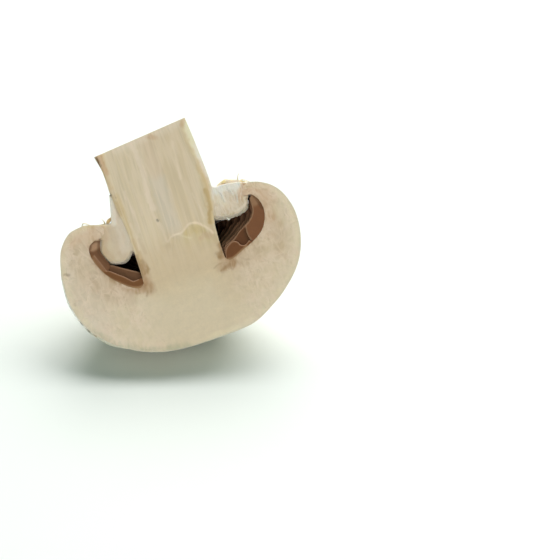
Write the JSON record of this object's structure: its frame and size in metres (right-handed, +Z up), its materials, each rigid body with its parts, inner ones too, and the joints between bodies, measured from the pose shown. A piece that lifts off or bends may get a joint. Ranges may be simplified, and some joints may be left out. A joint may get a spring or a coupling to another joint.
{
  "type": "button mushroom half",
  "caption": "Button mushroom cut lengthwise in half, lying on the back of its cap: cut flesh, brown gills in their chamber, torn veil and slightly spreading cut stem.",
  "frame": {"origin": "middle of the flattened spot on the back of the cap, on which the half mushroom lies", "axes": "+Z up from the surface it lies on, +X to the right along the cut face, +Y away from the cut face, which faces -Y and up"},
  "size_m": [0.0451, 0.0324, 0.0402],
  "materials": {
    "flesh": "matt moist cream-white mushroom flesh, with a thin dull white skin on the outside of the cap",
    "veil": "soft fibrous white veil tissue, matt",
    "gill": "matt pinkish brown to chocolate brown gill flesh"
  },
  "bodies": {
    "root": {"cap_and_stem": "flesh", "veil": "veil", "gill_01": "gill", "gill_02": "gill", "gill_03": "gill", "gill_04": "gill", "gill_05": "gill", "gill_06": "gill", "gill_07": "gill", "gill_08": "gill", "gill_09": "gill", "gill_10": "gill", "gill_11": "gill", "gill_12": "gill", "gill_13": "gill", "gill_14": "gill", "gill_15": "gill", "gill_16": "gill", "gill_17": "gill", "gill_18": "gill", "gill_19": "gill", "gill_20": "gill", "gill_21": "gill", "gill_22": "gill", "gill_23": "gill", "short_gill_01": "gill", "short_gill_02": "gill", "short_gill_03": "gill", "short_gill_04": "gill", "short_gill_05": "gill", "short_gill_06": "gill", "short_gill_07": "gill", "short_gill_08": "gill", "short_gill_09": "gill", "short_gill_10": "gill", "short_gill_11": "gill", "short_gill_12": "gill", "short_gill_13": "gill", "short_gill_14": "gill", "short_gill_15": "gill", "short_gill_16": "gill", "short_gill_17": "gill", "short_gill_18": "gill", "short_gill_19": "gill", "short_gill_20": "gill", "short_gill_21": "gill", "short_gill_22": "gill"}
  },
  "joints": []
}
